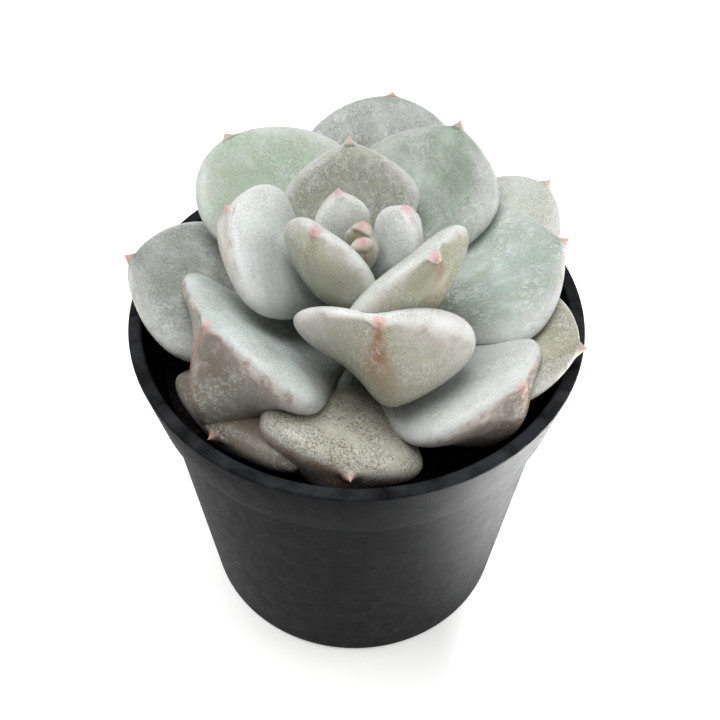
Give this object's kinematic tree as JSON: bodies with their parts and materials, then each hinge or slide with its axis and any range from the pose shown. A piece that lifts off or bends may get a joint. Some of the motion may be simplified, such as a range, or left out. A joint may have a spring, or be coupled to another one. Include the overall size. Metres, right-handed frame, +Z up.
{
  "type": "potted succulent",
  "caption": "Thick-leaved rosette succulent with powdery grey-green leaves and pink tips, growing in a small round black nursery pot.",
  "frame": {"origin": "centre of the pot's underside", "axes": "+Z up along the pot's axis, -Y towards the front of the plant, +X to its right"},
  "size_m": [0.0907, 0.0925, 0.106],
  "materials": {
    "pot_plastic": "black injection-moulded polypropylene, satin, lightly scuffed",
    "soil_mix": "dark moist peat mix with a few pale grains, matt",
    "stem_bark": "short fleshy stem, matt",
    "leaf_green": "fleshy leaf under pale waxy bloom, grey-green, satin-matt",
    "leaf_grey": "fleshy leaf under pale waxy bloom, lavender-grey, tan along the ridge, satin-matt",
    "leaf_beige": "older fleshy leaf, finely speckled beige-grey with a brown edge, satin-matt",
    "bud_pink": "young fleshy leaf, pale green flushed pink, satin-matt"
  },
  "bodies": {
    "root": {"pot": "pot_plastic", "soil": "soil_mix", "stem": "stem_bark", "bud_leaf_back": "bud_pink", "bud_leaf_front": "bud_pink", "core_leaf_back": "leaf_green", "core_leaf_right": "leaf_green", "inner_leaf_front_left": "leaf_green", "inner_leaf_front_right": "leaf_green", "middle_leaf_back": "leaf_grey", "middle_leaf_left": "leaf_grey", "middle_leaf_front": "leaf_grey", "outer_leaf_back_right": "leaf_green", "outer_leaf_right": "leaf_green", "outer_leaf_back_left": "leaf_green", "outer_leaf_front_left": "leaf_grey", "outer_leaf_front_right": "leaf_grey", "outer_leaf_left": "leaf_grey", "low_leaf_back": "leaf_grey", "low_leaf_back_right": "leaf_grey", "low_leaf_right": "leaf_beige", "low_leaf_front": "leaf_beige", "low_leaf_front_left": "leaf_beige", "under_leaf_left": "leaf_beige", "under_leaf_back": "leaf_beige", "under_leaf_back_right": "leaf_beige"}
  },
  "joints": []
}
